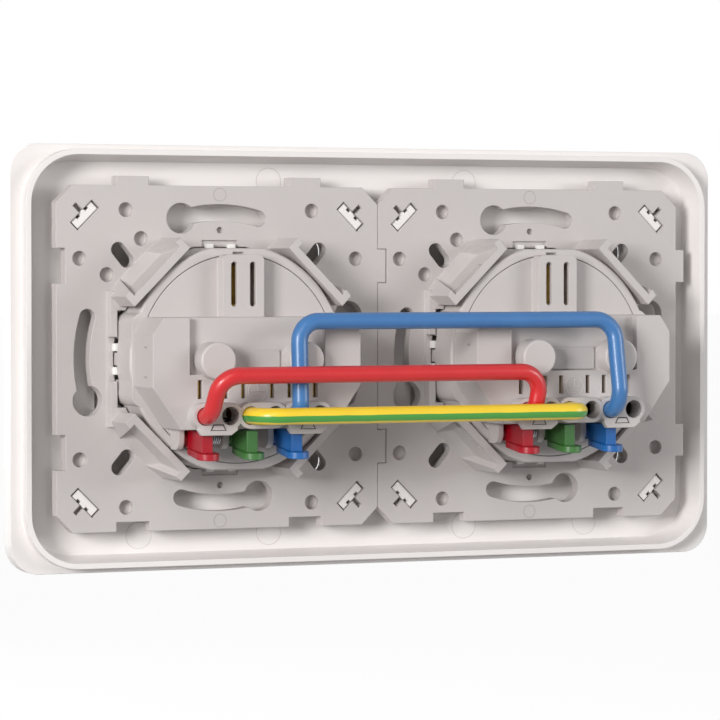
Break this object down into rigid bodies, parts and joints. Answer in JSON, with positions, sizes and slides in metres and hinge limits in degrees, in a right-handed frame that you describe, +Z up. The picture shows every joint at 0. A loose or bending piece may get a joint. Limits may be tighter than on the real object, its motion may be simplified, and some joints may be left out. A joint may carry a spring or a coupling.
{
  "type": "double wall socket",
  "caption": "Wall socket in a shared finish plate: round plug wells with earth pins and shutters, slotted support frames, push-in terminals with release levers, and link wires behind.",
  "frame": {"origin": "on the wall plane at the rear edge of the finish plate, midway between the gangs", "axes": "+X to the right as seen from the front, +Y into the wall towards the terminals, +Z up"},
  "size_m": [0.16, 0.0435, 0.0876],
  "materials": {
    "plate": "satin pinkish white moulding",
    "support": "warm light grey moulding",
    "mechanism": "warm light grey moulding",
    "cover": "white moulding",
    "shutter": "white moulding",
    "contact": "stamped sheet",
    "plated_pin": "nickel plated",
    "spring_steel": "spring strip",
    "copper": "solid copper wire",
    "wire_red": "red wire insulation",
    "wire_blue": "blue wire insulation",
    "wire_yellow": "yellow wire insulation with a green stripe",
    "lever_red": "red moulding",
    "lever_green": "green moulding",
    "lever_blue": "blue moulding"
  },
  "bodies": {
    "socket": {"finish_plate": "plate", "right_support_frame": "support", "right_socket_base": "mechanism", "right_front_cover": "cover", "right_terminal_cover": "mechanism", "right_earth_pin": "plated_pin", "right_shutter_spring": "spring_steel", "right_live_contact": "contact", "right_neutral_contact": "contact", "right_earth_contact": "contact", "right_live_clamp_spring": "spring_steel", "right_earth_clamp_spring": "spring_steel", "right_neutral_clamp_spring": "spring_steel", "left_support_frame": "support", "left_socket_base": "mechanism", "left_front_cover": "cover", "left_terminal_cover": "mechanism", "left_earth_pin": "plated_pin", "left_shutter_spring": "spring_steel", "left_live_contact": "contact", "left_neutral_contact": "contact", "left_earth_contact": "contact", "left_live_clamp_spring": "spring_steel", "left_earth_clamp_spring": "spring_steel", "left_neutral_clamp_spring": "spring_steel", "live_link_wire": "wire_red", "live_link_conductor": "copper", "earth_link_wire": "wire_yellow", "earth_link_conductor": "copper", "neutral_link_wire": "wire_blue", "neutral_link_conductor": "copper"},
    "right_shutter": {"right_shutter": "shutter"},
    "right_live_lever": {"right_live_lever": "lever_red"},
    "right_earth_lever": {"right_earth_lever": "lever_green"},
    "right_neutral_lever": {"right_neutral_lever": "lever_blue"},
    "left_shutter": {"left_shutter": "shutter"},
    "left_live_lever": {"left_live_lever": "lever_red"},
    "left_earth_lever": {"left_earth_lever": "lever_green"},
    "left_neutral_lever": {"left_neutral_lever": "lever_blue"}
  },
  "joints": [
    {"name": "right_shutter_slide", "type": "slide", "parent": "socket", "child": "right_shutter", "axis": [0, 0, -1], "range_m": [0, 0.0062], "stiffness_N_per_m": 150, "springref_m": -0.004, "deforming": ["right_shutter_spring"]},
    {"name": "right_live_lever_press", "type": "hinge", "parent": "socket", "child": "right_live_lever", "pos_m": [0.0469, 0.0124, -0.0159], "axis": [-1, 0, 0], "range_deg": [0, 8], "stiffness_Nm_per_rad": 0.05, "springref_deg": -5.73},
    {"name": "right_earth_lever_press", "type": "hinge", "parent": "socket", "child": "right_earth_lever", "pos_m": [0.03725, 0.0124, -0.0159], "axis": [-1, 0, 0], "range_deg": [0, 8], "stiffness_Nm_per_rad": 0.05, "springref_deg": -5.73},
    {"name": "right_neutral_lever_press", "type": "hinge", "parent": "socket", "child": "right_neutral_lever", "pos_m": [0.0276, 0.0124, -0.0159], "axis": [-1, 0, 0], "range_deg": [0, 8], "stiffness_Nm_per_rad": 0.05, "springref_deg": -5.73},
    {"name": "left_shutter_slide", "type": "slide", "parent": "socket", "child": "left_shutter", "axis": [0, 0, -1], "range_m": [0, 0.0062], "stiffness_N_per_m": 150, "springref_m": -0.004, "deforming": ["left_shutter_spring"]},
    {"name": "left_live_lever_press", "type": "hinge", "parent": "socket", "child": "left_live_lever", "pos_m": [-0.0241, 0.0124, -0.0159], "axis": [-1, 0, 0], "range_deg": [0, 8], "stiffness_Nm_per_rad": 0.05, "springref_deg": -5.73},
    {"name": "left_earth_lever_press", "type": "hinge", "parent": "socket", "child": "left_earth_lever", "pos_m": [-0.03375, 0.0124, -0.0159], "axis": [-1, 0, 0], "range_deg": [0, 8], "stiffness_Nm_per_rad": 0.05, "springref_deg": -5.73},
    {"name": "left_neutral_lever_press", "type": "hinge", "parent": "socket", "child": "left_neutral_lever", "pos_m": [-0.0434, 0.0124, -0.0159], "axis": [-1, 0, 0], "range_deg": [0, 8], "stiffness_Nm_per_rad": 0.05, "springref_deg": -5.73}
  ]
}
